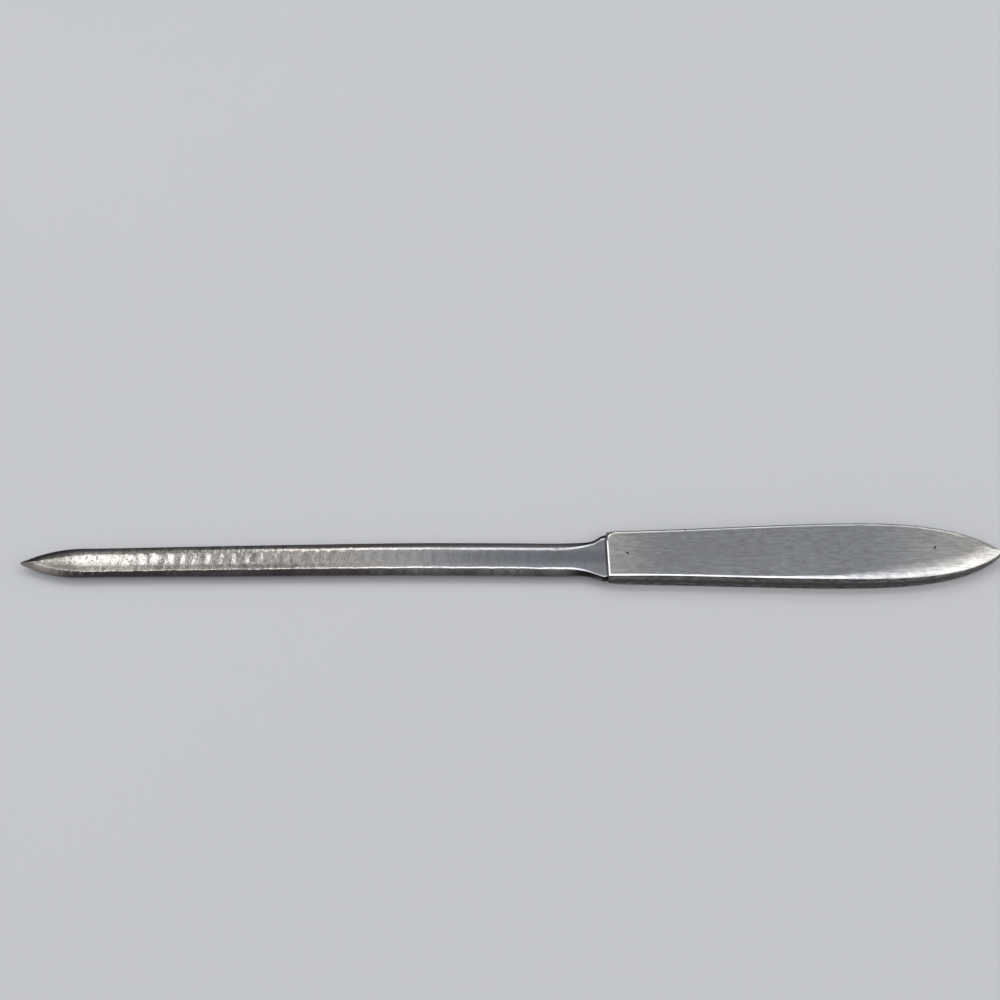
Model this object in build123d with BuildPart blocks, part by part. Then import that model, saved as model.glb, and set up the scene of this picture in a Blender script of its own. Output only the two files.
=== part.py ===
from build123d import *
import os
from collections import namedtuple
from math import cos, radians, sin

# An all-metal letter opener. One steel blank, bevelled to a blade and flared at its root,
# runs on as a full-width tang. A plate lies on each side of the tang, and two pins,
# peened into countersinks and ground flush, hold the three layers together.
# The plates' outer faces are flat at the front and fall away in an arc towards the tip.
# The blade points along -X, and the handle's lower plate rests on Z = 0.

# Overall sizes, in millimetres
overall_length = 216.0
handle_length = 86.6
blank_thickness = 1.0
plate_thickness = 1.35

# Blade: the cutting edge is the outline at mid-thickness, the flat is the face inside the bevels
cutting_edge_thickness = 0.3
edge_point_length = 13.5
edge_shoulder_width = 7.8
edge_waist_width = 8.7
edge_flare_length = 5.4
flat_point_setback = 1.6
flat_point_length = 14.5
flat_width = 4.95
flat_flare_length = 9.2
root_land_length = 1.1
root_bevel_width = 1.05

# Handle outline, seen from above
handle_front_width = 12.3
handle_belly_width = 15.3
handle_belly_distance = 55.0
handle_arch_fullness = 14.0
handle_tip_fullness = 9.0
handle_tip_half_angle = 42.0
handle_tip_radius = 0.8

# Plates: the stretch where each outer face falls, its fall at the tip, and its rounded edges
plate_fall_length = 28.0
plate_tip_drop = 0.6
plate_side_radius = 0.7
plate_front_radius = 0.3

# Pins, both on the handle's centre line
pin_diameter = 1.8
pin_head_diameter = 2.4
pin_head_height = 0.5
pin_clearance = 0.01
front_pin_setback = 4.4
rear_pin_from_tip = 14.4

# Places that follow from the sizes above
blade_tip_x = -overall_length / 2
handle_tip_x = overall_length / 2
handle_front_x = handle_tip_x - handle_length
handle_belly_x = handle_front_x + handle_belly_distance
root_knee_x = handle_front_x - root_land_length
tang_z = plate_thickness
blank_top_z = tang_z + blank_thickness
handle_top_z = blank_top_z + plate_thickness
edge_low_z = tang_z + (blank_thickness - cutting_edge_thickness) / 2
edge_high_z = edge_low_z + cutting_edge_thickness
pin_radius = pin_diameter / 2
pin_head_radius = pin_head_diameter / 2
pin_places = {
    "front_pin": handle_front_x + front_pin_setback,
    "rear_pin": handle_tip_x - rear_pin_from_tip,
}

BladeOutline = namedtuple(
    "BladeOutline", "tip_x point_length shoulder_half waist_half flare_length root_half"
)
cutting_edge = BladeOutline(
    tip_x=blade_tip_x,
    point_length=edge_point_length,
    shoulder_half=edge_shoulder_width / 2,
    waist_half=edge_waist_width / 2,
    flare_length=edge_flare_length,
    root_half=handle_front_width / 2,
)
flat = BladeOutline(
    tip_x=blade_tip_x + flat_point_setback,
    point_length=flat_point_length,
    shoulder_half=flat_width / 2,
    waist_half=flat_width / 2,
    flare_length=flat_flare_length,
    root_half=handle_front_width / 2 - root_bevel_width,
)


def blade_boundary(outline):
    # Point arc, long side, flare arc and root land on each side, closed across the root
    shoulder = (outline.tip_x + outline.point_length, outline.shoulder_half)
    waist = (root_knee_x - outline.flare_length, outline.waist_half)
    with BuildLine() as boundary:
        side = Line(shoulder, waist)
        TangentArc(side @ 0, (outline.tip_x, 0), tangent=(side % 0) * -1)
        flare = TangentArc(side @ 1, (root_knee_x, outline.root_half), tangent=side % 1)
        Line(flare @ 1, (handle_front_x, outline.root_half))
        mirror(about=Plane.XZ)
        Line((handle_front_x, outline.root_half), (handle_front_x, -outline.root_half))
    return boundary.line


def handle_boundary():
    # Each side swells in an S from the front to the belly, then arches in to the tip
    belly_third = handle_belly_distance / 3
    front_half = handle_front_width / 2
    belly_half = handle_belly_width / 2
    tip_angle = radians(handle_tip_half_angle)
    sharp_tip_x = handle_tip_x + handle_tip_radius * (1 / sin(tip_angle) - 1)
    tip_control_x = sharp_tip_x - handle_tip_fullness * cos(tip_angle)
    with BuildLine() as boundary:
        side = Bezier(
            (handle_front_x, front_half),
            (handle_front_x + belly_third, front_half),
            (handle_belly_x - belly_third, belly_half),
            (handle_belly_x, belly_half),
        )
        Bezier(
            side @ 1,
            (handle_belly_x + handle_arch_fullness, belly_half),
            (tip_control_x, handle_tip_fullness * sin(tip_angle)),
            (sharp_tip_x, 0),
        )
        mirror(about=Plane.XZ)
        Line((handle_front_x, front_half), (handle_front_x, -front_half))
    return boundary.line


def handle_face(plane):
    # The outline shared by the tang and both plates, with its tip rounded off
    with BuildSketch(plane) as face:
        with BuildLine():
            add(handle_boundary())
        make_face()
        fillet(face.vertices().sort_by(Axis.X)[-1], handle_tip_radius)
    return face.sketch


def handle_envelope():
    # The side view of the two outer faces, drawn out sideways past the outline
    with BuildPart() as envelope:
        with BuildSketch(Plane.XZ):
            with BuildLine():
                level = Line(
                    (handle_front_x - handle_tip_radius, handle_top_z),
                    (handle_tip_x - plate_fall_length, handle_top_z),
                )
                fall = TangentArc(
                    level @ 1,
                    (handle_tip_x, handle_top_z - plate_tip_drop),
                    tangent=level % 1,
                )
                overrun = Line(fall @ 1, fall @ 1 + (fall % 1) * handle_tip_radius)
                mirror(about=Plane.XZ.offset(-handle_top_z / 2))
                for end in (level @ 0, overrun @ 1):
                    Line(end, (end.X, handle_top_z - end.Y))
            make_face()
        extrude(amount=handle_belly_width, both=True)
    return envelope.part


def unground_pin(pin_x, clearance=0):
    # A shank whose coned heads still stand proud of both plates by a head's height
    shank = pin_radius + clearance
    proud = shank + 2 * (pin_head_radius - pin_radius)
    with BuildPart() as pin:
        with BuildSketch(Plane.XZ):
            with BuildLine():
                Polyline(
                    (pin_x, -pin_head_height),
                    (pin_x + proud, -pin_head_height),
                    (pin_x + shank, pin_head_height),
                    (pin_x + shank, handle_top_z - pin_head_height),
                    (pin_x + proud, handle_top_z + pin_head_height),
                    (pin_x, handle_top_z + pin_head_height),
                    close=True,
                )
            make_face()
        revolve(axis=Axis((pin_x, 0, 0), (0, 0, 1)))
    return pin.part


os.makedirs("parts", exist_ok=True)

# Blade and tang, one piece
with BuildPart() as blade:
    for section_z, outline in (
        (tang_z, flat),
        (edge_low_z, cutting_edge),
        (edge_high_z, cutting_edge),
        (blank_top_z, flat),
    ):
        with BuildSketch(Plane.XY.offset(section_z)):
            with BuildLine():
                add(blade_boundary(outline))
            make_face()
    loft(ruled=True)
    extrude(handle_face(Plane.XY.offset(tang_z)), amount=blank_thickness)
    for pin_x in pin_places.values():
        add(unground_pin(pin_x, pin_clearance), mode=Mode.SUBTRACT)
blade.part.label = "blade"
export_step(blade.part, "parts/blade.step")

# Handle plates, each built outward from its seat on the tang and cut back to the envelope
envelope = handle_envelope()
upper_seat = Plane.XY.offset(blank_top_z)
lower_seat = Plane(origin=(0, 0, tang_z), x_dir=(1, 0, 0), z_dir=(0, 0, -1))

# The side rounding stays inside the tip's corner and the plate's thinnest wall
largest_share = 0.9
tightest = min(handle_tip_radius, plate_thickness - plate_tip_drop)
side_radius = min(plate_side_radius, largest_share * tightest)

for plate_name, seat in (("upper_plate", upper_seat), ("lower_plate", lower_seat)):
    outward = Axis(seat.origin, seat.z_dir)
    with BuildPart() as plate:
        extrude(handle_face(seat), amount=2 * plate_thickness, dir=seat.z_dir)
        add(envelope, mode=Mode.INTERSECT)
        largest = plate.faces().sort_by(SortBy.AREA)[-3:]
        level_face, fall_face = largest.sort_by(outward)[1:].sort_by(Axis.X)
        seam = level_face.edges() & fall_face.edges()
        rim = level_face.edges() + fall_face.edges() - seam
        front_edge = rim.sort_by(Axis.X)[0]
        fillet(rim - [front_edge], side_radius)
        front_wall = plate.faces().sort_by(Axis.X)[0]
        front_rim = front_wall.edges().filter_by_position(
            outward, plate_thickness - side_radius, plate_thickness
        )
        fillet(front_rim, plate_front_radius)
        for pin_x in pin_places.values():
            add(unground_pin(pin_x, pin_clearance), mode=Mode.SUBTRACT)
    plate.part.label = plate_name
    export_step(plate.part, f"parts/{plate_name}.step")

# Pins, ground off level with the plates
for pin_name, pin_x in pin_places.items():
    with BuildPart() as pin:
        add(unground_pin(pin_x))
        add(envelope, mode=Mode.INTERSECT)
    pin.part.label = pin_name
    export_step(pin.part, f"parts/{pin_name}.step")
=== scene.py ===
import math

import bmesh
import bpy
import numpy as np
from mathutils import Matrix, Vector, noise


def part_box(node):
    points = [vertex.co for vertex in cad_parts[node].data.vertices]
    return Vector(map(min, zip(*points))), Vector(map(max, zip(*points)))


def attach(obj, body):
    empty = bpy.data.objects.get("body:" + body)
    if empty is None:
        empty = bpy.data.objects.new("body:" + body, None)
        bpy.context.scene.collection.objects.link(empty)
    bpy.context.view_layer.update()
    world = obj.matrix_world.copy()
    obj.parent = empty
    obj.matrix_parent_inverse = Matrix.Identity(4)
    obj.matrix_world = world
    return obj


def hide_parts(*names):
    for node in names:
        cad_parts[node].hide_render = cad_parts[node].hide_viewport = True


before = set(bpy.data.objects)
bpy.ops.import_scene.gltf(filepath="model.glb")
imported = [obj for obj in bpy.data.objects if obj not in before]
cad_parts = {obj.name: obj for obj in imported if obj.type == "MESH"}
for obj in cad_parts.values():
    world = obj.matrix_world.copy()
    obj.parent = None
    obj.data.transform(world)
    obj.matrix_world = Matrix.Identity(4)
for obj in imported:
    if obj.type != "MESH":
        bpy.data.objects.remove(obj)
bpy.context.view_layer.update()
millimetre = 0.001    # every size below is in millimetres, Blender works in metres
print("frame loaded:", ", ".join(sorted(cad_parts)))


# small tools for curves and skins

def ease(start, end, x):
    # 0 before start, 1 after end, smooth between
    share = np.clip((x - start) / (end - start), 0.0, 1.0)
    return share * share * (3.0 - 2.0 * share)


def flow(knots, x):
    # a smooth line through (place, value) pairs, level at both ends, that never overshoots them
    places, values = np.array(knots, float).T
    steep = np.diff(values) / np.diff(places)
    slopes = np.zeros_like(values)
    alike = steep[:-1] * steep[1:] > 0
    slopes[1:-1][alike] = 2.0 / (1.0 / steep[:-1][alike] + 1.0 / steep[1:][alike])
    x = np.clip(x, places[0], places[-1])
    left = np.clip(np.searchsorted(places, x, side="right") - 1, 0, len(places) - 2)
    span = places[left + 1] - places[left]
    t = (x - places[left]) / span
    start = values[left] * (1 + 2 * t) * (1 - t) ** 2 + slopes[left] * span * t * (1 - t) ** 2
    end = values[left + 1] * (3 - 2 * t) * t ** 2 - slopes[left + 1] * span * (1 - t) * t ** 2
    return start + end


def wander(x, y, spacing, seed):
    # an irregular value between about -1 and 1 that drifts over that spacing
    return noise.noise(Vector((x / spacing, y / spacing, 3.7 * seed + 0.41)))


def roundOver(distance, radius):
    # how far a rounded edge lies below its face, at a distance in from the wall
    reach = np.clip(radius - distance, 0.0, radius)
    return radius - np.sqrt(radius * radius - reach * reach)


def skinRings(name, rings):
    # a closed skin over rings of equal length, with flat ends
    count = len(rings[0])
    points = np.concatenate([np.asarray(ring, float) for ring in rings]) * millimetre
    faces = []
    for row in range(len(rings) - 1):
        here = row * count
        for i in range(count):
            j = (i + 1) % count
            faces.append((here + i, here + j, here + count + j, here + count + i))
    faces.append(tuple(range(count)))
    faces.append(tuple(range(len(points) - count, len(points))))
    mesh = bpy.data.meshes.new(name)
    mesh.from_pydata(points.tolist(), [], faces)
    work = bmesh.new()
    work.from_mesh(mesh)
    bmesh.ops.recalc_face_normals(work, faces=work.faces)
    for face in work.faces:
        face.smooth = len(face.verts) == 4
    work.to_mesh(mesh)
    work.free()
    piece = bpy.data.objects.new(name, mesh)
    bpy.context.scene.collection.objects.link(piece)
    return piece


def drill(piece, cutters):
    # cuts the pin holes and keeps the result as the piece's own mesh
    for cutter in cutters:
        cut = piece.modifiers.new("hole", "BOOLEAN")
        cut.operation = "DIFFERENCE"
        cut.solver = "EXACT"
        cut.object = cutter
    bpy.context.view_layer.update()
    view = bpy.context.evaluated_depsgraph_get()
    drilled = bpy.data.meshes.new_from_object(piece.evaluated_get(view))
    piece.modifiers.clear()
    blank = piece.data
    piece.data = drilled
    bpy.data.meshes.remove(blank)


# the handle's outline, shared by the tang and the plates

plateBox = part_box("upper_plate")

handle = {
    "frontX": 21.4,
    "tipX": 108.0,
    "frontHalf": 6.15,
    "bellyX": 76.4,
    "bellyHalf": 7.65,
    "archFullness": 14.0,
    "tipFullness": 9.0,
    "tipHalfAngle": 42.0,
    "tipRadius": 0.8,
    "topZ": plateBox[1][2] / millimetre,
    "seatZ": plateBox[0][2] / millimetre,
}
handle["midZ"] = 0.5 * handle["topZ"]


# blade and tang

blade = {
    "tipX": -108.0,
    "tipRadius": 0.25,
    "kneeX": 20.3,
    "flatHalfThickness": 0.5,
    "edgeHalfThickness": 0.15,
    "edge": {"setback": 0.0, "pointLength": 13.5, "shoulderHalf": 3.9,
             "waistHalf": 4.35, "flareLength": 5.4, "rootHalf": 6.15},
    "flat": {"setback": 1.6, "pointLength": 14.5, "shoulderHalf": 2.475,
             "waistHalf": 2.475, "flareLength": 9.2, "rootHalf": 5.1},
    # half the width of the rounding between flat and bevel
    "nearCrease": ((-108.0, 0.2), (-60.0, 0.2), (4.0, 0.27), (15.0, 0.4), (21.4, 0.42)),
    "farCrease": ((-108.0, 0.7), (-70.0, 0.6), (-40.0, 0.4), (4.0, 0.34), (15.0, 0.42), (21.4, 0.42)),
    "creaseShare": 0.42,     # the most of the bevel or the flat that a rounding may take
    "creaseWander": 0.1,
    # how far each side has been worn in past its even outline
    "farTrim": ((-108.0, 0.0), (15.0, 0.0), (17.2, 0.2), (18.4, 0.36), (19.4, 0.39), (20.3, 0.4),
                (21.4, 0.2)),
    "nearTrim": ((-108.0, 0.0), (-100.0, 0.16), (-92.0, 0.26), (-82.0, 0.22), (-62.0, 0.0),
                 (-40.0, -0.05), (-22.0, -0.1), (-6.0, -0.06), (4.0, 0.0), (21.4, 0.0)),
    # how much wider the flat is on the near side of the flare
    "nearFlare": ((-108.0, 0.0), (13.0, 0.0), (16.5, 0.14), (19.4, 0.32), (20.6, 0.28), (21.4, 0.24)),
    "nearBulge": 0.004,
    "farBulge": 0.03,
    "flatCrown": ((-108.0, 0.055), (-80.0, 0.055), (-40.0, 0.03), (21.4, 0.03)),
    "chatterSpacing": 2.9,   # the bars that cross-grinding left on the flat
    "chatterDepth": 0.029,
    "chatterFade": ((-108.0, 0.15), (-90.0, 0.3), (-80.0, 0.8), (-62.0, 1.3), (-44.0, 1.5),
                    (-32.0, 0.7), (21.4, 0.1)),
    "bend": ((-108.0, -0.14), (-92.0, -0.32), (-72.0, -0.14), (-50.0, 0.02),
             (-25.0, 0.1), (0.0, -0.26), (11.0, -0.5), (18.0, -0.35), (21.4, 0.0)),
    "step": 0.2,
    "tangStep": 0.6,
    "seam": 0.015,           # the small chamfers that part tang and plates
}


def arcThrough(start, heading, end):
    # centre and radius of the arc that leaves start along heading and passes through end
    chord = end - start
    across = np.array((-heading[1], heading[0]))
    if np.dot(chord, across) < 0:
        across = -across
    radius = np.dot(chord, chord) / (2.0 * np.dot(chord, across))
    return start + radius * across, radius


def outlineHalf(outline, x):
    # half the width of the cutting edge or of the flat at x
    tip = np.array((blade["tipX"] + outline["setback"], 0.0))
    shoulder = np.array((tip[0] + outline["pointLength"], outline["shoulderHalf"]))
    waist = np.array((blade["kneeX"] - outline["flareLength"], outline["waistHalf"]))
    root = np.array((blade["kneeX"], outline["rootHalf"]))
    side = (waist - shoulder) / np.linalg.norm(waist - shoulder)
    if x <= tip[0]:
        return 0.0
    if x < shoulder[0]:
        centre, radius = arcThrough(shoulder, -side, tip)
        return centre[1] + math.sqrt(radius ** 2 - (x - centre[0]) ** 2)
    if x < waist[0]:
        return shoulder[1] + (x - shoulder[0]) * side[1] / side[0]
    if x < root[0]:
        centre, radius = arcThrough(waist, side, root)
        return centre[1] - math.sqrt(radius ** 2 - (x - centre[0]) ** 2)
    return root[1]


def handleOutline():
    # the handle's side as two lists, x and half width, from the front to the sharp tip
    third = (handle["bellyX"] - handle["frontX"]) / 3.0
    angle = math.radians(handle["tipHalfAngle"])
    sharpX = handle["tipX"] + handle["tipRadius"] * (1.0 / math.sin(angle) - 1.0)
    swell = ((handle["frontX"], handle["frontHalf"]), (handle["frontX"] + third, handle["frontHalf"]),
             (handle["bellyX"] - third, handle["bellyHalf"]), (handle["bellyX"], handle["bellyHalf"]))
    arch = (swell[3], (handle["bellyX"] + handle["archFullness"], handle["bellyHalf"]),
            (sharpX - handle["tipFullness"] * math.cos(angle), handle["tipFullness"] * math.sin(angle)),
            (sharpX, 0.0))
    t = np.linspace(0.0, 1.0, 1500)[:, None]
    runs = []
    for p in (np.array(swell), np.array(arch)):
        runs.append(p[0] * (1 - t) ** 3 + 3 * p[1] * t * (1 - t) ** 2
                    + 3 * p[2] * t ** 2 * (1 - t) + p[3] * t ** 3)
    return np.concatenate((runs[0], runs[1][1:])).T


outlineX, outlineY = handleOutline()


def handleHalf(x):
    # half the handle's width at x, with the tip rounded off
    half = float(np.interp(x, outlineX, outlineY))
    tipCentre = handle["tipX"] - handle["tipRadius"]
    if x > tipCentre:
        half = min(half, math.sqrt(max(handle["tipRadius"] ** 2 - (x - tipCentre) ** 2, 0.0)))
    return half


def handleStations(step, frontGaps):
    # where sections are taken: close together at the front edge and round the tip
    front = [handle["frontX"] + gap for gap in frontGaps]
    tipCentre = handle["tipX"] - handle["tipRadius"]
    count = int((tipCentre - front[-1]) / step)
    middle = list(np.linspace(front[-1], tipCentre, count)[1:-1])
    turn = np.radians(np.linspace(100.0, 17.0, 11))
    tip = [x for x in tipCentre + handle["tipRadius"] * np.cos(turn) if x > middle[-1] + 0.02]
    return front + middle + tip


bevelShares = np.linspace(0.0, 1.0, 7)[:-1]
creaseShares = np.linspace(-1.0, 1.0, 7)
flatShares = np.linspace(0.0, 1.0, 15)[1:-1]


def bladeAcross(half, nearFlat, farFlat, nearCrease, farCrease):
    # places across the blade, from the near edge to the far one
    nearStart = -nearFlat - nearCrease
    farEnd = farFlat + farCrease
    near = -half + (nearStart + half) * bevelShares
    nearTurn = -nearFlat + nearCrease * creaseShares
    far = farEnd + (half - farEnd) * np.append(bevelShares, 1.0)[1:]
    farTurn = farFlat + farCrease * creaseShares
    flat = nearTurn[-1] + (farTurn[0] - nearTurn[-1]) * flatShares
    return np.concatenate((near, nearTurn, flat, farTurn, far))


def bevelDrop(y, flat, half, crease, drop, bulge):
    # the bevel's fall below the flat, with a rounded crease and a slight bulge
    past = y - flat
    run = max(half - flat, 1e-6)
    rounded = np.where(past > crease, past, (past + crease) ** 2 / (4 * crease))
    turned = np.where(past < -crease, 0.0, rounded)
    share = np.clip(past / run, 0.0, 1.0)
    return drop * turned / run - 4.0 * bulge * share * (1.0 - share)


def chatter(x, y, seed):
    # uneven bars across the flat, as a hand-held stone leaves them
    phase = x / blade["chatterSpacing"]
    phase = phase + 0.45 * wander(x, 0.0, 6.0, seed) + 0.1 * wander(x, y, 2.0, seed + 1)
    strength = 0.55 + 0.6 * abs(wander(x, 0.3 * y, 2.6, seed + 2))
    ripple = 0.2 * wander(x, y, 0.9, seed + 3)
    depth = blade["chatterDepth"] * flow(blade["chatterFade"], x)
    return depth * (strength * math.sin(2.0 * math.pi * phase) + ripple)


def bladeSection(x, seed):
    # half a section: places across and heights above the middle
    fromTip = x - blade["tipX"]
    half = outlineHalf(blade["edge"], x)
    half = math.sqrt(half ** 2 + 2.0 * blade["tipRadius"] * fromTip * math.exp(-fromTip / 0.8))
    flat = outlineHalf(blade["flat"], x)
    ridge = min(fromTip / blade["flat"]["setback"], 1.0)
    thin = blade["edgeHalfThickness"]
    top = thin + (blade["flatHalfThickness"] - thin) * ridge
    flat = max(flat, 0.3 * half)
    calm = ease(0.0, 14.0, fromTip) * (1.0 - 0.7 * ease(8.0, 18.0, x))
    sway = blade["creaseWander"] * calm
    nearWave = (wander(x, 0, 4.5, seed) + 0.5 * wander(x, 0, 1.6, seed + 1)
                + 1.6 * wander(x, 0, 0.7, seed + 6))
    farWave = (1.2 * wander(x, 0, 5.0, seed + 2) + wander(x, 0, 1.5, seed + 3)
               + 2.2 * wander(x, 0, 0.7, seed + 7))
    nearFlat = flat + sway * nearWave + flow(blade["nearFlare"], x)
    farFlat = flat + sway * farWave
    nearCrease = flow(blade["nearCrease"], x) * (1.0 + 0.3 * wander(x, 0, 2.2, seed + 4))
    most = blade["creaseShare"]
    nearCrease = min(nearCrease, most * (half - nearFlat), most * flat)
    farCrease = min(flow(blade["farCrease"], x), most * (half - farFlat), most * flat)
    y = bladeAcross(half, nearFlat, farFlat, nearCrease, farCrease)
    # the flat's crown runs on straight under the bevels
    reach = np.abs(y) / flat
    crown = np.where(reach < 1.0, reach ** 2, 2.0 * reach - 1.0) * flow(blade["flatCrown"], x) * ridge
    drop = top - thin - crown[0]
    fall = np.where(y < 0, bevelDrop(-y, nearFlat, half, nearCrease, drop, blade["nearBulge"]),
                    bevelDrop(y, farFlat, half, farCrease, drop, blade["farBulge"]))
    onFlat = ease(-0.75 * flat, -0.2 * flat, y) * (1.0 - ease(0.6 * flat, 0.95 * flat, y))
    bars = np.array([chatter(x, place, seed + 5) for place in y]) * onFlat * ease(1.0, 6.0, fromTip)
    farShare = 1.0 - flow(blade["farTrim"], x) / half
    nearShare = 1.0 - flow(blade["nearTrim"], x) / max(half - nearFlat, 0.6)
    worn = np.where(y < -nearFlat, (y + nearFlat) * nearShare - nearFlat, y)
    worn = np.where(y > 0, y * farShare, worn)
    return worn, np.maximum(top - fall - crown + bars, thin)


def ringOf(x, y, upper, lower, shift=0.0):
    # a section's points, along the upper side from near to far and back along the lower one
    mid = handle["midZ"]
    top = [(x, place + shift, mid + height) for place, height in zip(y, upper)]
    bottom = [(x, place + shift, mid - height) for place, height in zip(y, lower)]
    return top + bottom[::-1]


def makeBlade():
    near = np.array((0.004, 0.02, 0.05, 0.1, 0.17, 0.26, 0.38, 0.52, 0.68, 0.85))
    count = int((handle["frontX"] - blade["tipX"] - 1.0) / blade["step"])
    stations = list(blade["tipX"] + near)
    stations += list(np.linspace(blade["tipX"] + 1.0, handle["frontX"], count))
    rings = []
    for x in stations:
        shift = flow(blade["bend"], x)
        y, upper = bladeSection(x, 1)
        lowerY, lower = bladeSection(x, 21)
        ring = ringOf(x, y, upper, lower, shift)
        back = ringOf(x, lowerY, upper, lower, shift)
        rings.append(ring[:len(y)] + back[len(y):])
    # the tang starts at the full thickness where the plates begin
    thick = blade["flatHalfThickness"] - 0.002
    for x in handleStations(blade["tangStep"], (0.0, 0.3)):
        half = handleHalf(x) - 0.02
        flat = half - blade["seam"] * min(1.0, half)
        crease = 0.2 * (half - flat)
        y = bladeAcross(half, flat, flat, crease, crease)
        height = np.where(np.abs(y) > flat, thick - blade["seam"], thick)
        rings.append(ringOf(x, y, height, height))
    return skinRings("steelBlade", rings)


# handle plates

plate = {
    "fallStart": 80.0,
    "tipFall": 0.6,
    "frontRadius": 0.1,
    "frontWidth": 0.38,      # the worn facet along the front edge
    "frontDrop": 0.121,
    # how far each outer face draws in at the front
    "upperLift": ((21.4, 0.1), (25.0, 0.08), (30.0, 0.04), (37.0, 0.0)),
    "lowerLift": ((21.4, 0.9), (23.0, 0.55), (25.0, 0.32), (30.0, 0.14), (37.0, 0.0)),
    "cornerRadius": 0.2,     # the upright corners at the front
    "wornCorner": 2.4,       # the far front corner of the facet is worn round
    "sideRadius": ((21.4, 0.2), (108.0, 0.22)),
    "nearWidth": ((21.4, 0.64), (50.0, 0.66), (68.0, 1.1), (90.0, 4.4), (108.0, 4.6)),
    "nearDrop": ((21.4, 0.067), (50.0, 0.07), (68.0, 0.1), (80.0, 0.18), (90.0, 0.245), (108.0, 0.26)),
    "nearPower": ((21.4, 1.05), (60.0, 1.1), (88.0, 2.0), (108.0, 2.0)),
    "farWidth": ((21.4, 0.85), (80.0, 0.85), (98.0, 1.0), (108.0, 1.6)),
    "farDrop": ((21.4, 0.082), (80.0, 0.082), (98.0, 0.095), (108.0, 0.2)),
    "farRim": 0.34,          # a steeper facet outside the far one
    "farRimSlope": 0.5,
    "swell": 0.012,          # the slow waviness that hand polishing leaves
    "step": 0.32,
}


def plateFall(x):
    # how far the outer face has fallen by x
    length = handle["tipX"] - plate["fallStart"]
    radius = (length ** 2 + plate["tipFall"] ** 2) / (2.0 * plate["tipFall"])
    past = np.clip(x - plate["fallStart"], 0.0, length)
    return radius - np.sqrt(radius ** 2 - past ** 2)


def facetDrop(inset, width, drop, power=1.05):
    # how far a worn facet or a rolled edge lies below the face
    return drop * np.maximum(1.0 - inset / width, 0.0) ** power


def plateHeight(x, y, half, seed):
    # the outer face's height above the seat at a place on the plate
    inset = np.maximum(half - np.abs(y), 0.0)
    side = min(flow(plate["sideRadius"], x), 0.5 * half)
    fromFront = x - handle["frontX"]
    near = facetDrop(half + y, flow(plate["nearWidth"], x), flow(plate["nearDrop"], x),
                     flow(plate["nearPower"], x))
    # the far and front facets run into each other round the worn corner
    corner = plate["wornCorner"] if seed == 1 else plate["frontWidth"]
    ahead = max(corner - fromFront, 0.0)
    beside = np.maximum(corner - (half - y), 0.0)
    reach = np.maximum(np.hypot(ahead, beside), 1e-9)
    share = (ahead / reach) ** 2
    width = flow(plate["farWidth"], x) * (1.0 - share) + plate["frontWidth"] * share
    slope = np.minimum(plate["frontDrop"] / plate["frontWidth"],
                       flow(plate["farDrop"], x) / flow(plate["farWidth"], x) / np.sqrt(1.0 - share + 1e-9))
    farInset = np.where(ahead > 0.0, corner - reach, half - y)
    rim = plate["farRimSlope"] * np.maximum(plate["farRim"] * (1.0 - share) - farInset, 0.0)
    far = facetDrop(farInset, width, slope * width) + rim
    lift = flow(plate["upperLift" if seed == 1 else "lowerLift"], x)
    height = handle["topZ"] - handle["seatZ"] - plateFall(x) - np.maximum(near, far) - lift
    height = height - roundOver(inset, max(side, 1e-4)) - roundOver(fromFront, plate["frontRadius"])
    swell = np.array([wander(x, place, 8.0, 40 + seed) for place in np.atleast_1d(y)])
    return height + plate["swell"] * (swell - 1.0) * ease(0.8, 3.0, inset) * ease(0.5, 2.5, fromFront)


edgeTurn = np.radians(np.linspace(0.0, 90.0, 9))
rollShares = np.array((0.12, 0.3, 0.5, 0.7, 0.9, 1.0))
faceShares = np.array((0.02, 0.08, 0.18, 0.32, 0.48, 0.66, 0.84, 1.0))
wallShares = np.array((0.0, 0.3, 0.65))


def edgePlaces(half, side, roll):
    # places in from one wall: round its edge, over its roll and on to the middle
    roll = min(max(roll, 1.4 * side), 0.85 * half)
    turn = side * (1.0 - np.cos(edgeTurn))
    over = side + (roll - side) * rollShares
    return np.concatenate((turn, over, roll + (half - roll) * faceShares))


def plateSection(x, seed):
    # one plate's section, from the near wall's foot over the outer face to the far one
    half = handleHalf(x) - roundOver(x - handle["frontX"], plate["cornerRadius"])
    side = min(flow(plate["sideRadius"], x), 0.5 * half)
    near = edgePlaces(half, side, flow(plate["nearWidth"], x))
    far = edgePlaces(half, side, flow(plate["farWidth"], x))
    y = np.concatenate((near - half, (half - far)[-2::-1]))
    height = plateHeight(x, y, half, seed)
    foot = blade["seam"] * min(1.0, half)
    nearWall = foot + (height[0] - foot) * wallShares
    farWall = foot + (height[-1] - foot) * wallShares
    y = np.concatenate(([-half] * 3, y, [half] * 3, [half - foot, foot - half]))
    height = np.concatenate((nearWall, height, farWall[::-1], [0.0, 0.0]))
    return y, height


def makePlate(name, up):
    seed = 1 if up else 2
    turn = plate["frontRadius"] * (1.0 - np.cos(np.radians(np.linspace(0.0, 90.0, 6))))
    facet = np.array((0.35, 0.55, 0.75, 0.95, 1.05, 1.4, 2.0)) * plate["frontWidth"]
    gaps = np.concatenate((turn, facet))
    rings = []
    for x in handleStations(plate["step"], list(gaps)):
        y, height = plateSection(x, seed)
        seat = handle["seatZ"] - handle["midZ"]
        z = handle["midZ"] + (seat + height if up else -seat - height)
        rings.append(np.column_stack((np.full_like(y, x), y, z)))
    return skinRings(name, rings)


# pins

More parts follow.
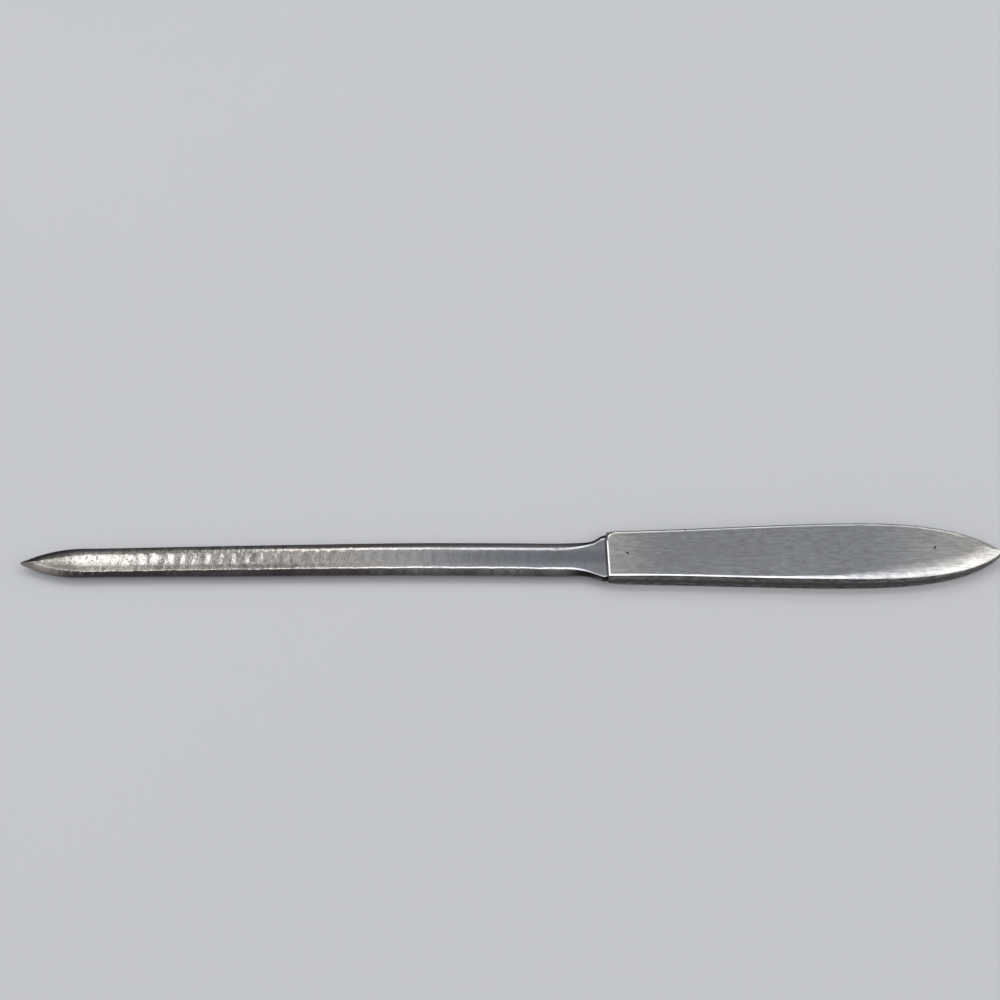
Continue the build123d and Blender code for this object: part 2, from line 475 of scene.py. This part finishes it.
pins = {
    # the pit in each upper head: its place on the head, half length, half width, turn and depth
    "front": {"x": 25.8, "pit": ((0.0, 0.0), 0.28, 0.26, 0.0, 0.5)},
    "rear": {"x": 93.6, "pit": ((-0.31, 0.66), 0.52, 0.22, 53.0, 0.45)},
    "shankRadius": 0.9,
    "headRadius": 1.2,
    "headHeight": 0.5,
    "gap": 0.003,
    "rim": 0.003,
    "sides": 64,
}


def circleRing(x, radius, heights, angles):
    return np.column_stack((x + radius * np.cos(angles), radius * np.sin(angles), heights))


def makePin(name, one):
    angles = np.linspace(0.0, 2.0 * math.pi, pins["sides"], endpoint=False)
    place, long, wide, turn, deep = one["pit"]
    turn = math.radians(turn)
    along = long * np.cos(angles - turn)
    aside = wide * np.sin(angles - turn)
    middle = np.array((one["x"] + place[0], place[1]))
    pit = np.column_stack((along * math.cos(turn) - aside * math.sin(turn),
                           along * math.sin(turn) + aside * math.cos(turn)))
    rim = pins["rim"]
    head = circleRing(one["x"], pins["headRadius"] - 0.4 * rim, 0.0 * angles, angles)[:, :2]
    shank = circleRing(one["x"], pins["shankRadius"], 0.0 * angles, angles)[:, :2]
    # each ring as its places and its depth below the plate's face, out from the pit's middle
    spread = []
    for share in (0.08, 0.35, 0.5, 0.75, 1.0):
        spread.append((middle + share * pit, deep * min(1.0, 1.8 * (1.0 - share))))
    for share in (0.03, 0.3, 0.6, 0.9):
        spread.append(((middle + pit) * (1.0 - share) + head * share, 0.0))
    spread += [(head, rim), (shank, pins["headHeight"])]
    rings = []
    for seed, way in ((1, 1.0), (2, -1.0)):
        side = []
        for places, depth in spread:
            face = [plateHeight(x, np.array([y]), handleHalf(x), seed)[0] for x, y in places]
            sunk = depth if way > 0 or places is head or places is shank else 0.0
            z = handle["midZ"] + way * (handle["seatZ"] - handle["midZ"] + np.array(face) - sunk)
            side.append(np.column_stack((places, z)))
        rings = side if way > 0 else rings + side[::-1]
    return skinRings(name, rings)


def makeCutter(name, one):
    # the pin's own shape, a little larger, standing out past both plates
    angles = np.linspace(0.0, 2.0 * math.pi, pins["sides"], endpoint=False)
    shank = pins["shankRadius"] + pins["gap"]
    proud = shank + 2.0 * (pins["headRadius"] - pins["shankRadius"])
    deep = pins["headHeight"]
    top = handle["topZ"] - plateFall(one["x"])
    bottom = handle["topZ"] - top
    rings = []
    for radius, z in ((proud, bottom - deep), (shank, bottom + deep),
                      (shank, top - deep), (proud, top + deep)):
        rings.append(circleRing(one["x"], radius, np.full_like(angles, z), angles))
    return skinRings(name, rings)


steelBlade = makeBlade()
upperPlate = makePlate("upperPlate", True)
lowerPlate = makePlate("lowerPlate", False)
frontPin = makePin("frontPin", pins["front"])
rearPin = makePin("rearPin", pins["rear"])
cutters = [makeCutter("frontCutter", pins["front"]), makeCutter("rearCutter", pins["rear"])]
for piece in (steelBlade, upperPlate, lowerPlate):
    drill(piece, cutters)
for cutter in cutters:
    cutterMesh = cutter.data
    bpy.data.objects.remove(cutter)
    bpy.data.meshes.remove(cutterMesh)
sharpAngle = math.radians(32.0)    # edges that turn by more stay sharp
for piece in (steelBlade, upperPlate, lowerPlate, frontPin, rearPin):
    piece.data.set_sharp_from_angle(angle=sharpAngle)
print("pieces shaped:", sum(len(p.data.polygons) for p in (steelBlade, upperPlate, lowerPlate)), "faces")


# finishes

class Tone:
    # a shader socket that can stand in sums
    def __init__(self, shop, socket):
        self.shop = shop
        self.socket = socket

    def other(self, name):
        return Tone(self.shop, self.socket.node.outputs[name])

    def sum(self, operation, first, second):
        return self.shop.node("ShaderNodeMath", {"operation": operation}, {0: first, 1: second})

    def __add__(self, value):
        return self.sum("ADD", self, value)

    def __radd__(self, value):
        return self.sum("ADD", value, self)

    def __sub__(self, value):
        return self.sum("SUBTRACT", self, value)

    def __rsub__(self, value):
        return self.sum("SUBTRACT", value, self)

    def __mul__(self, value):
        return self.sum("MULTIPLY", self, value)

    def __rmul__(self, value):
        return self.sum("MULTIPLY", value, self)


class Shop:
    # makes the nodes of one material or world
    def __init__(self, tree):
        self.tree = tree
        tree.nodes.clear()

    def node(self, kind, settings=None, values=None, output=0):
        made = self.tree.nodes.new(kind)
        for name, value in (settings or {}).items():
            if name == "stops":
                ramp = made.color_ramp.elements
                while len(ramp) < len(value):
                    ramp.new(1.0)
                for stop, (place, colour) in zip(ramp, value):
                    stop.position = place
                    stop.color = (*colour, 1.0)
            else:
                setattr(made, name, value)
        for name, value in (values or {}).items():
            socket = made.inputs[name]
            if isinstance(value, Tone):
                self.tree.links.new(value.socket, socket)
            elif socket.type == "RGBA" and len(value) == 3:
                socket.default_value = (*value, 1.0)
            else:
                socket.default_value = value
        if len(made.outputs):
            return Tone(self, made.outputs[output])
        return None

    def between(self, value, low, high):
        # 0 below low, 1 above high; the other way round when low is the larger
        return self.node("ShaderNodeMapRange", {"interpolation_type": "SMOOTHSTEP"},
                         {"Value": value, "From Min": low, "From Max": high})

    def grain(self, place, stretch, scale, detail=3.0, rough=0.55):
        # noise drawn out along the axes, in millimetres
        drawn = self.node("ShaderNodeVectorMath", {"operation": "MULTIPLY"}, {0: place, 1: stretch})
        return self.node("ShaderNodeTexNoise", {}, {"Vector": drawn, "Scale": scale, "Detail": detail,
                                                    "Roughness": rough})

    def blend(self, share, first, second):
        return self.node("ShaderNodeMix", {"data_type": "RGBA"}, {0: share, 6: first, 7: second}, output=2)


def newFinish(name):
    material = bpy.data.materials.new(name)
    material.use_nodes = True
    shop = Shop(material.node_tree)
    found = shop.node("ShaderNodeTexCoord", output="Object")
    place = shop.node("ShaderNodeVectorMath", {"operation": "SCALE"}, {0: found, "Scale": 1000.0})
    facing = shop.node("ShaderNodeSeparateXYZ", {}, {0: found.other("Normal")}, output="Z")
    return material, shop, place, facing


def closeFinish(shop, colour, roughness, height):
    # the last nodes of a metal finish; height is in millimetres
    bump = shop.node("ShaderNodeBump", {}, {"Strength": 1.0, "Distance": millimetre, "Height": height})
    shader = shop.node("ShaderNodeBsdfPrincipled", {}, {"Base Color": colour, "Roughness": roughness,
                                                        "Metallic": 1.0, "Normal": bump})
    shop.node("ShaderNodeOutputMaterial", {}, {"Surface": shader})


bladeSteel = {
    "warm": (0.68, 0.64, 0.595),
    "cool": (0.58, 0.595, 0.64),
    "tarnishAndShade": (0.228, 0.218, 0.195),
    "bevelTarnish": (0.236, 0.212, 0.216),
    "shadow": (0.3, 0.315, 0.37),
    "dirtAndShade": (0.1, 0.088, 0.082),
    "roughness": 0.15,
    "grindDepth": 0.02,
    "speckleDepth": 0.012,
    "polishDepth": 0.003,
    "pitDepth": 0.02,
}


def bladeFinish():
    material, shop, place, facing = newFinish("groundSteel")
    along = shop.node("ShaderNodeSeparateXYZ", {}, {0: place}, output="X")
    across = along.other("Y")
    clouds = shop.grain(place, (1.0, 1.0, 1.0), 0.16, 4.0)
    speckle = shop.grain(place, (1.0, 1.0, 1.0), 2.4, 3.0, 0.65)
    blotch = shop.grain(place, (1.0, 0.5, 1.0), 0.8, 4.0, 0.65)
    crossGrind = shop.grain(place, (1.0, 0.16, 0.16), 2.2, 3.0)
    polish = shop.grain(place, (0.05, 1.0, 1.0), 6.0, 3.0)
    spots = shop.node("ShaderNodeTexVoronoi", {"feature": "F1"}, {"Vector": place, "Scale": 0.85})
    worked = 1.0 - shop.between(along, -62.0, -20.0)
    slope = 1.0 - shop.between(facing * facing, 0.962, 0.988)
    tang = shop.between(along, 21.3, 21.5)
    pits = (1.0 - shop.between(spots, 0.08, 0.24)) * shop.between(clouds, 0.45, 0.62)
    pits = pits * (0.1 + worked * 0.9) * (1.0 - slope)
    tint = shop.between(along + (clouds - 0.5) * 24.0, -46.0, 12.0)
    steel = shop.blend(tint, bladeSteel["warm"], bladeSteel["cool"])
    middle = (1.0 - shop.between(across * across, 0.3, 4.5)) * shop.between(along, -22.0, -6.0)
    # point: the blade's point, darkened below as painted shade that dims its glint
    point = 1.0 - shop.between(along + (blotch - 0.5) * 12.0, -99.0, -94.0)
    patches = shop.between(blotch, 0.49, 0.59) * worked * (0.4 + shop.between(along, -92.0, -80.0) * 0.6)
    dull = (shop.between(clouds, 0.52, 0.75) * 0.25 + shop.between(speckle, 0.56, 0.75) * worked * 0.3
            + patches * 0.45 + (speckle - 0.5) * 1.4 + 0.1)
    # lower: the near part of the worked flat, darkened below as painted shade that narrows the flat's
    # highlight; the other shares are the steel's own dull patches, pits and bevel tarnish
    lower = (1.0 - shop.between(across + (blotch - 0.5) * 1.6, -1.55, -0.8)) * worked
    soiledAndShaded = (dull + pits * 0.7 + slope * (0.52 + shop.between(along, -62.0, -34.0) * 0.3)
              + (point + lower * 0.8) * 0.7 + (crossGrind - 0.5) * (1.0 - slope) * 0.4)
    # painted dark reflection: the flat's middle towards the flare is mixed towards the bluish shadow colour
    steel = shop.blend(middle * (0.1 + clouds * 0.7), steel, bladeSteel["shadow"])
    tarnishAndShade = shop.blend(slope, bladeSteel["tarnishAndShade"], bladeSteel["bevelTarnish"])
    stainedAndShaded = shop.blend(soiledAndShaded, steel, tarnishAndShade)
    # painted shade, mixed towards the dark colour below: the very tip and the point's bevels, the cutting
    # edge's upright walls, the root against the plates (partly dirt in the joint), the point's near edge and
    # the flare's bevels
    tip = 1.0 - shop.between(along, -107.6, -103.5)
    tip = tip + (1.0 - tip) * slope * (1.0 - shop.between(along, -98.0, -88.0)) * 0.5
    edge = 1.0 - shop.between(facing * facing, 0.1, 0.5)
    joint = shop.between(along, 20.9, 21.25)
    # the near edge of the point, where its arc turns in, and the bevels of the flare
    arc = blade["edge"]
    turn = along - (blade["tipX"] + arc["pointLength"])
    curve = arc["shoulderHalf"] / arc["pointLength"] ** 2
    rim = shop.between(turn * turn * curve - across, 2.6, 4.1) * (1.0 - shop.between(along, -102.0, -92.0))
    root = shop.between(along, 14.0, 18.0) * slope
    paintedShade = joint * 0.8 + tip * 0.8 + edge * 0.6 + rim * 0.6 + root * 0.55
    stainedAndShaded = shop.blend(paintedShade, stainedAndShaded, bladeSteel["dirtAndShade"])
    roughness = (bladeSteel["roughness"] + (speckle - 0.5) * 0.12 + pits * 0.15
                 + (clouds - 0.5) * 0.1 + tang * 0.2)
    height = (crossGrind * (0.5 + worked * 0.5) * (1.0 - slope * 0.8) * bladeSteel["grindDepth"]
              + speckle * (0.1 + worked * 0.9) * bladeSteel["speckleDepth"]
              + polish * bladeSteel["polishDepth"] - pits * bladeSteel["pitDepth"])
    closeFinish(shop, stainedAndShaded, roughness, height)
    return material


plateSteel = {
    "pale": (0.68, 0.657, 0.622),
    "cool": (0.42, 0.436, 0.462),
    "dirtAndShade": (0.1, 0.088, 0.082),
    "roughness": 0.22,
    "handledRoughness": 0.1,   # how much smoother the edges are that hands have rubbed
    "mottleDepth": 0.012,
    "brushDepth": 0.003,
    "fineDepth": 0.004,
    "nickDepth": 0.03,
    "scratchDepth": 0.001,
}


def plateFinish(name, shade, steep):
    # shade darkens the whole piece; walls are where the squared facing falls through steep
    material, shop, place, facing = newFinish(name)
    along = shop.node("ShaderNodeSeparateXYZ", {}, {0: place}, output="X")
    clouds = shop.grain(place, (1.0, 1.3, 1.0), 0.14, 4.0)
    mottle = shop.grain(place, (0.6, 1.0, 1.0), 0.8, 4.0, 0.6)
    brush = shop.grain(place, (0.05, 1.0, 1.0), 3.2, 3.0)
    fine = shop.grain(place, (0.2, 1.0, 1.0), 2.4, 4.0, 0.7)
    rolled = shop.between(along, 70.0, 88.0)
    cells = shop.node("ShaderNodeTexVoronoi", {"feature": "F1"}, {"Vector": place, "Scale": 0.3})
    chosen = shop.node("ShaderNodeSeparateColor", {}, {0: cells.other("Color")})
    nicks = (1.0 - shop.between(cells, 0.03, 0.07)) * shop.between(chosen, 0.6, 0.65) * (1.0 - rolled * 0.8)
    hair = shop.grain(place, (0.035, 1.0, 1.0), 2.2, 1.0)
    scratches = shop.between(hair, 0.66, 0.7) * shop.between(clouds, 0.45, 0.6)
    sideways = facing.other("Y")
    # the walls and the steepest faces, the pits in the pin heads among them, are painted much darker and made
    # rougher
    wall = shop.between(sideways * sideways, 0.08, 0.3)
    wall = wall + (1.0 - wall) * (1.0 - shop.between(facing * facing, *steep))
    handled = (1.0 - shop.between(facing * facing, 0.985, 0.9985)) * (1.0 - wall)
    handled = handled * (1.0 - shop.between(along, 66.0, 86.0))
    # the plates are cool and darker through the middle and pale and warm towards the front and rear: partly the
    # steel's own tone, partly painted light, as the pale warm rear brightens and warms the sheen there
    middle = shop.between(along, 20.0, 35.0) * (1.0 - shop.between(along, 77.0, 104.0))
    steel = shop.blend(middle * 0.75 + (clouds - 0.5) * 0.8 + 0.12, plateSteel["pale"], plateSteel["cool"])
    soiledAndShaded = ((0.16 + (mottle - 0.5) * 0.6 + (fine - 0.5) * 1.2) * (1.0 - handled) + nicks * 0.6
              + wall * (0.69 + (mottle - 0.5) * 0.5) + shade)
    stainedAndShaded = shop.blend(soiledAndShaded, steel, plateSteel["dirtAndShade"])
    roughness = (plateSteel["roughness"] + (clouds - 0.5) * 0.1 + (mottle - 0.5) * 0.06
                 + wall * 0.16 - scratches * 0.04 - handled * plateSteel["handledRoughness"])
    height = ((mottle * plateSteel["mottleDepth"] * (1.0 - rolled * 0.85) + brush * plateSteel["brushDepth"]
               + fine * plateSteel["fineDepth"]) * (1.0 - handled * 0.8)
              - nicks * plateSteel["nickDepth"] - scratches * plateSteel["scratchDepth"])
    closeFinish(shop, stainedAndShaded, roughness, height)
    return material


groundSteel = bladeFinish()
satinSteel = plateFinish("satinSteel", 0.0, (0.6, 0.88))
peenedSteel = plateFinish("peenedSteel", 0.02, (0.5, 0.93))
for piece, material in (
    (steelBlade, groundSteel),
    (upperPlate, satinSteel),
    (lowerPlate, satinSteel),
    (frontPin, peenedSteel),
    (rearPin, peenedSteel),
):
    piece.data.materials.clear()
    piece.data.materials.append(material)
print("finishes made")


# riding on the frame

for piece, node, slot in (
    (steelBlade, "blade", "blade_steel"),
    (upperPlate, "upper_plate", "plate_steel"),
    (lowerPlate, "lower_plate", "plate_steel"),
    (frontPin, "front_pin", "pin_steel"),
    (rearPin, "rear_pin", "pin_steel"),
):
    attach(piece, "root")
    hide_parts(node)


# floor, light and camera

studio = {
    "floorColour": (0.615, 0.623, 0.641),
    "floorDim": 0.95,        # the palest and the dimmest patches differ by this factor
    "floorRoughness": 0.75,
    "floorRadius": 1.3,
    "skyLevels": ((0.0, 0.5), (0.1, 0.4), (0.2, 0.07), (0.36, 0.09), (0.52, 0.22), (0.72, 0.18),
                  (0.86, 0.25), (0.92, 0.1), (1.0, 0.03)),
    "skyTint": (0.97, 1.0, 1.05),
    "rightGlow": 0.24,       # the sky is brighter low on the far right,
    "leftGlow": 0.27,        # half way up on the left
    "nearGlow": 0.08,        # and behind the camera
    "lamps": {
        # place in metres, width, height and level; each faces the point on the X axis given last
        "highStrip": ((0.05, 0.38, 0.92), 1.14, 0.14, 2.9, 0.05),
        "lowStrip": ((0.16, 0.79, 0.76), 0.9, 0.14, 1.8, 0.16),
        "leftWindow": ((-0.43, 0.62, 0.82), 0.11, 0.14, 2.25, 0.0),
        "leftBox": ((-1.15, -0.1, 0.75), 2.5, 1.6, 1.34, 0.0),
        "rightBox": ((1.25, -0.1, 0.8), 2.0, 1.7, 1.28, 0.0),
    },
}


def makeFloor():
    turn = np.linspace(0.0, 2.0 * math.pi, 120, endpoint=False)
    rim = circleRing(0.0, studio["floorRadius"], 0.0 * turn, turn)
    mesh = bpy.data.meshes.new("tableTop")
    mesh.from_pydata(rim.tolist(), [], [tuple(range(len(rim)))])
    floor = bpy.data.objects.new("tableTop", mesh)
    bpy.context.scene.collection.objects.link(floor)
    material = bpy.data.materials.new("paleTable")
    material.use_nodes = True
    shop = Shop(material.node_tree)
    found = shop.node("ShaderNodeTexCoord", output="Object")
    tooth = shop.node("ShaderNodeTexNoise", {}, {"Vector": found, "Scale": 900.0, "Detail": 2.0})
    drift = shop.node("ShaderNodeTexNoise", {}, {"Vector": found, "Scale": 9.0, "Detail": 2.0})
    pale = studio["floorColour"]
    dim = tuple(studio["floorDim"] * part for part in pale)
    colour = shop.blend(drift * 0.6 + tooth * 0.4, pale, dim)
    bump = shop.node("ShaderNodeBump", {}, {"Strength": 0.1, "Distance": 0.00005, "Height": tooth})
    shader = shop.node("ShaderNodeBsdfPrincipled", {}, {
        "Base Color": colour, "Roughness": studio["floorRoughness"], "Specular IOR Level": 0.2, "Normal": bump})
    shop.node("ShaderNodeOutputMaterial", {}, {"Surface": shader})
    mesh.materials.append(material)


def makeSky():
    world = bpy.data.worlds.new("studioSky")
    world.use_nodes = True
    bpy.context.scene.world = world
    shop = Shop(world.node_tree)
    heading = shop.node("ShaderNodeTexCoord", output="Generated")
    height = shop.node("ShaderNodeSeparateXYZ", {}, {0: heading}, output="Z")
    stops = []
    for place, level in studio["skyLevels"]:
        stops.append((place, tuple(level * part for part in studio["skyTint"])))
    colour = shop.node("ShaderNodeValToRGB", {"stops": stops}, {0: height})
    across = shop.node("ShaderNodeSeparateXYZ", {}, {0: heading}, output="X")
    ahead = across.other("Y")
    right = shop.between(across, -0.15, 0.5) * shop.between(height, 0.08, 0.2)
    right = right * (1.0 - shop.between(height, 0.6, 0.75)) * studio["rightGlow"]
    left = (1.0 - shop.between(across, -0.16, 0.06)) * shop.between(height, 0.66, 0.78)
    left = left * (1.0 - shop.between(height, 0.85, 0.92)) * studio["leftGlow"]
    near = (1.0 - shop.between(ahead, -0.4, -0.06)) * studio["nearGlow"]
    colour = shop.node("ShaderNodeMix", {"data_type": "RGBA", "blend_type": "ADD"},
                       {0: right + left + near, 6: colour, 7: studio["skyTint"]}, output=2)
    light = shop.node("ShaderNodeBackground", {}, {"Color": colour, "Strength": 1.0})
    shop.node("ShaderNodeOutputWorld", {}, {"Surface": light})


def makeLamp(name, place, width, height, level, aimX):
    # a soft box that faces the opener; level is how bright its face looks
    data = bpy.data.lights.new(name, "AREA")
    data.shape = "RECTANGLE"
    data.size = width
    data.size_y = height
    data.energy = level * math.pi * width * height
    lamp = bpy.data.objects.new(name, data)
    bpy.context.scene.collection.objects.link(lamp)
    away = Vector(place) - Vector((aimX, 0.0, 0.0))
    lamp.location = place
    lamp.rotation_euler = away.to_track_quat("Z", "Y").to_euler()


camera = {
    "lens": 45.0,
    "target": (-2.10, 18.06, -0.5),
    "distance": 288.47,
    "pitch": 52.61,
    "heading": -0.362,
    "roll": 0.8165,
}


def makeCamera():
    data = bpy.data.cameras.new("photoCamera")
    data.lens = camera["lens"]
    data.sensor_width = 36.0
    data.clip_start = 0.01
    shot = bpy.data.objects.new("photoCamera", data)
    bpy.context.scene.collection.objects.link(shot)
    pitch = math.radians(camera["pitch"])
    heading = math.radians(camera["heading"])
    roll = math.radians(camera["roll"])
    ahead = Vector((math.sin(heading) * math.cos(pitch), math.cos(heading) * math.cos(pitch),
                    -math.sin(pitch)))
    level = Vector((math.cos(heading), -math.sin(heading), 0.0))
    above = level.cross(ahead)
    right = level * math.cos(roll) - above * math.sin(roll)
    up = level * math.sin(roll) + above * math.cos(roll)
    turned = Matrix((right, up, -ahead)).transposed().to_4x4()
    place = (Vector(camera["target"]) - ahead * camera["distance"]) * millimetre
    shot.matrix_world = Matrix.Translation(place) @ turned
    bpy.context.scene.camera = shot


makeFloor()
makeSky()
for name, lampValues in studio["lamps"].items():
    makeLamp(name, *lampValues)
makeCamera()
bpy.context.scene.view_settings.view_transform = "Standard"
print("studio set")

bpy.context.view_layer.update()
